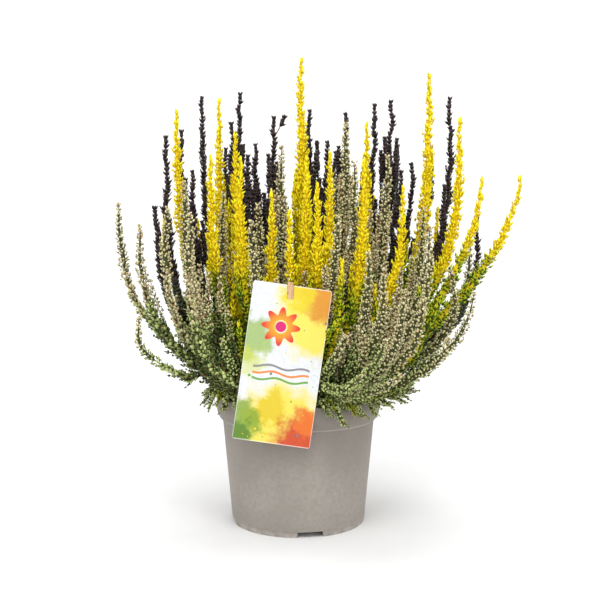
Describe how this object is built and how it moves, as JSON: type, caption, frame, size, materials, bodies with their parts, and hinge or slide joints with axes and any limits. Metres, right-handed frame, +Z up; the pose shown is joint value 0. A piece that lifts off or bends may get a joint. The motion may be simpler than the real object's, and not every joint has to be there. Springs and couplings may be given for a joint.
{
  "type": "potted heather",
  "caption": "Round plastic nursery pot of upright heather in yellow, dark and silver-green spikes, with a plant card on a wooden stake.",
  "frame": {"origin": "middle of the flat pad under the pot, on the surface that the pot stands on", "axes": "+Z up along the pot's axis, -Y towards the front, where the card stands, +X to the right seen from the front"},
  "size_m": [0.2936, 0.2132, 0.338],
  "materials": {
    "pot_plastic": "matte moulded plastic, taupe grey",
    "peat": "loose fibrous peat",
    "card": "smooth coated card",
    "stake_wood": "plain sawn wood",
    "yellow_heather": "matte needle leaves, green low down",
    "dark_heather": "matte needle leaves, purple-brown",
    "silver_heather": "matte needle leaves and buds with pale tips"
  },
  "bodies": {
    "root": {"pot": "pot_plastic", "soil": "peat", "plant_card": "card", "card_stake": "stake_wood", "yellow_spray_01": "yellow_heather", "yellow_spray_02": "yellow_heather", "yellow_spray_03": "yellow_heather", "yellow_spray_04": "yellow_heather", "yellow_spray_05": "yellow_heather", "yellow_spray_06": "yellow_heather", "yellow_spray_07": "yellow_heather", "yellow_spray_08": "yellow_heather", "yellow_spray_09": "yellow_heather", "yellow_spray_10": "yellow_heather", "yellow_spray_11": "yellow_heather", "yellow_spray_12": "yellow_heather", "yellow_spray_13": "yellow_heather", "yellow_spray_14": "yellow_heather", "yellow_spray_15": "yellow_heather", "yellow_spray_16": "yellow_heather", "yellow_spray_17": "yellow_heather", "yellow_spray_18": "yellow_heather", "dark_spray_01": "dark_heather", "dark_spray_02": "dark_heather", "dark_spray_03": "dark_heather", "dark_spray_04": "dark_heather", "dark_spray_05": "dark_heather", "dark_spray_06": "dark_heather", "dark_spray_07": "dark_heather", "dark_spray_08": "dark_heather", "dark_spray_09": "dark_heather", "dark_spray_10": "dark_heather", "dark_spray_11": "dark_heather", "dark_spray_12": "dark_heather", "dark_spray_13": "dark_heather", "dark_spray_14": "dark_heather", "dark_spray_15": "dark_heather", "silver_spray_01": "silver_heather", "silver_spray_02": "silver_heather", "silver_spray_03": "silver_heather", "silver_spray_04": "silver_heather", "silver_spray_05": "silver_heather", "silver_spray_06": "silver_heather", "silver_spray_07": "silver_heather", "silver_spray_08": "silver_heather", "silver_spray_09": "silver_heather", "silver_spray_10": "silver_heather", "silver_spray_11": "silver_heather", "silver_spray_12": "silver_heather", "silver_spray_13": "silver_heather", "silver_spray_14": "silver_heather", "silver_spray_15": "silver_heather", "silver_spray_16": "silver_heather", "silver_spray_17": "silver_heather", "silver_spray_18": "silver_heather", "silver_spray_19": "silver_heather", "silver_spray_20": "silver_heather", "silver_spray_21": "silver_heather", "silver_spray_22": "silver_heather", "silver_spray_23": "silver_heather"}
  },
  "joints": []
}
